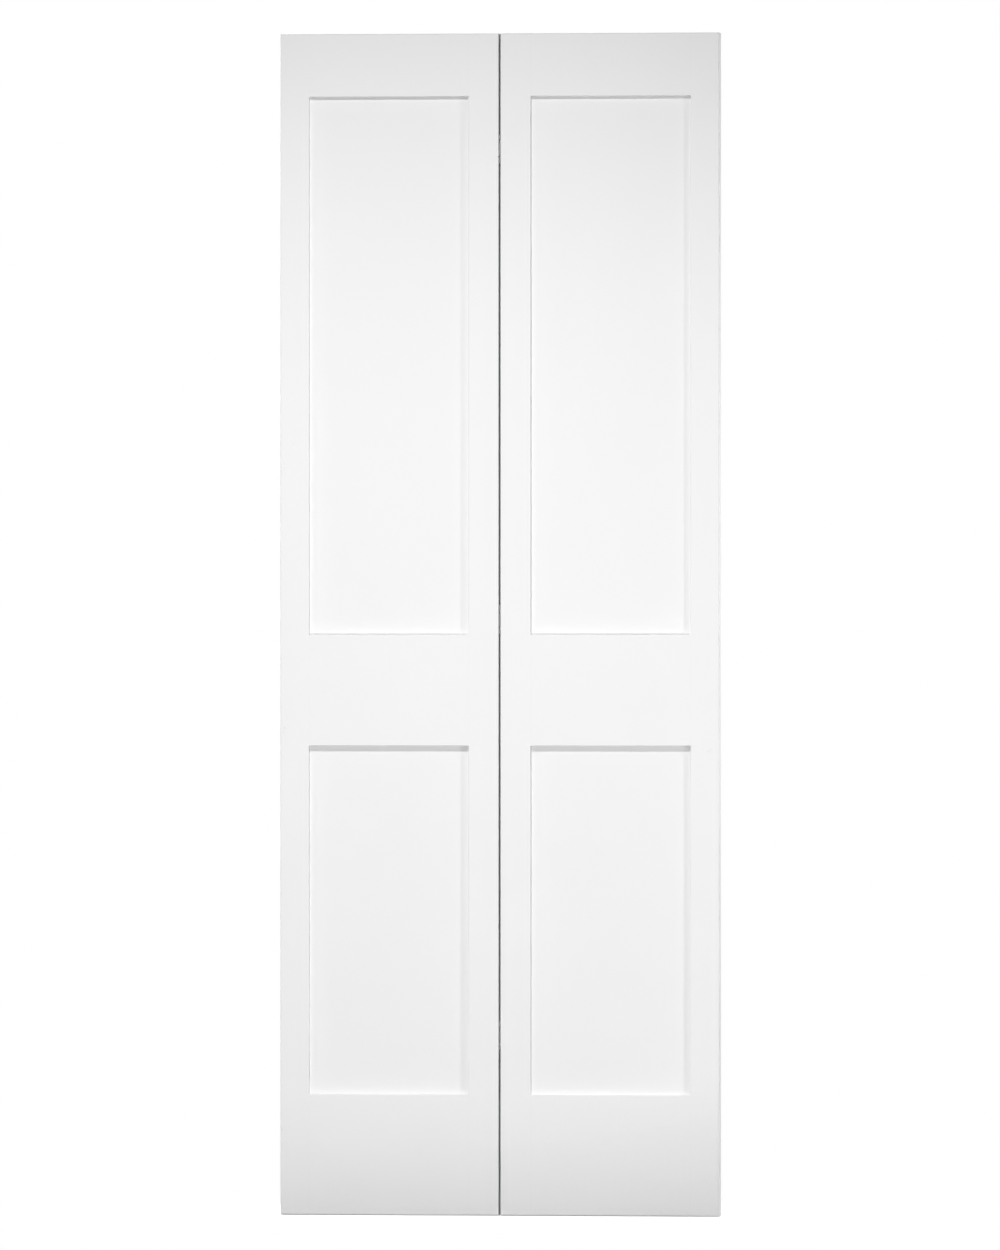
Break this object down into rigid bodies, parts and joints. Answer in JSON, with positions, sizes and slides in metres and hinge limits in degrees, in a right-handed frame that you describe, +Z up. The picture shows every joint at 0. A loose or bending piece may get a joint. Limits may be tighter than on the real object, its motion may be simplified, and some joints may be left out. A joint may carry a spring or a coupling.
{
  "type": "bifold door",
  "caption": "Bifold door of framed leaves with flat recessed panels, folding back to back on hinges in the gap between them, with pivot holes in the leaf ends.",
  "frame": {"origin": "mouth of the bottom pivot hole, in the bottom edge of the left leaf at mid thickness", "axes": "+X across the door from the left leaf to the right one, +Y from the front face to the back face, where the hinge knuckles are, +Z up"},
  "size_m": [0.7494, 0.0428, 2.0066],
  "materials": {
    "painted_wood": "white primer, eggshell, over wood",
    "painted_panel": "white primer, eggshell, over fibreboard",
    "dowel_wood": "bare beech",
    "hinge_steel": "zinc plated",
    "pin_steel": "zinc plated",
    "screw_steel": "zinc plated"
  },
  "bodies": {
    "left_leaf": {"left_outer_stile": "painted_wood", "left_hinge_stile": "painted_wood", "left_top_rail": "painted_wood", "left_lock_rail": "painted_wood", "left_bottom_rail": "painted_wood", "left_upper_panel": "painted_panel", "left_lower_panel": "painted_panel", "left_dowels": "dowel_wood", "top_hinge_outer_plate": "hinge_steel", "top_hinge_pin": "pin_steel", "middle_hinge_outer_plate": "hinge_steel", "middle_hinge_pin": "pin_steel", "bottom_hinge_outer_plate": "hinge_steel", "bottom_hinge_pin": "pin_steel", "left_hinge_screws": "screw_steel"},
    "right_leaf": {"right_outer_stile": "painted_wood", "right_hinge_stile": "painted_wood", "right_top_rail": "painted_wood", "right_lock_rail": "painted_wood", "right_bottom_rail": "painted_wood", "right_upper_panel": "painted_panel", "right_lower_panel": "painted_panel", "right_dowels": "dowel_wood", "top_hinge_inner_plate": "hinge_steel", "middle_hinge_inner_plate": "hinge_steel", "bottom_hinge_inner_plate": "hinge_steel", "right_hinge_screws": "screw_steel"}
  },
  "joints": [
    {"name": "leaf_fold", "type": "hinge", "parent": "left_leaf", "child": "right_leaf", "pos_m": [0.3527, 0.02165, 0], "axis": [0, 0, 1], "range_deg": [0, 180]}
  ]
}
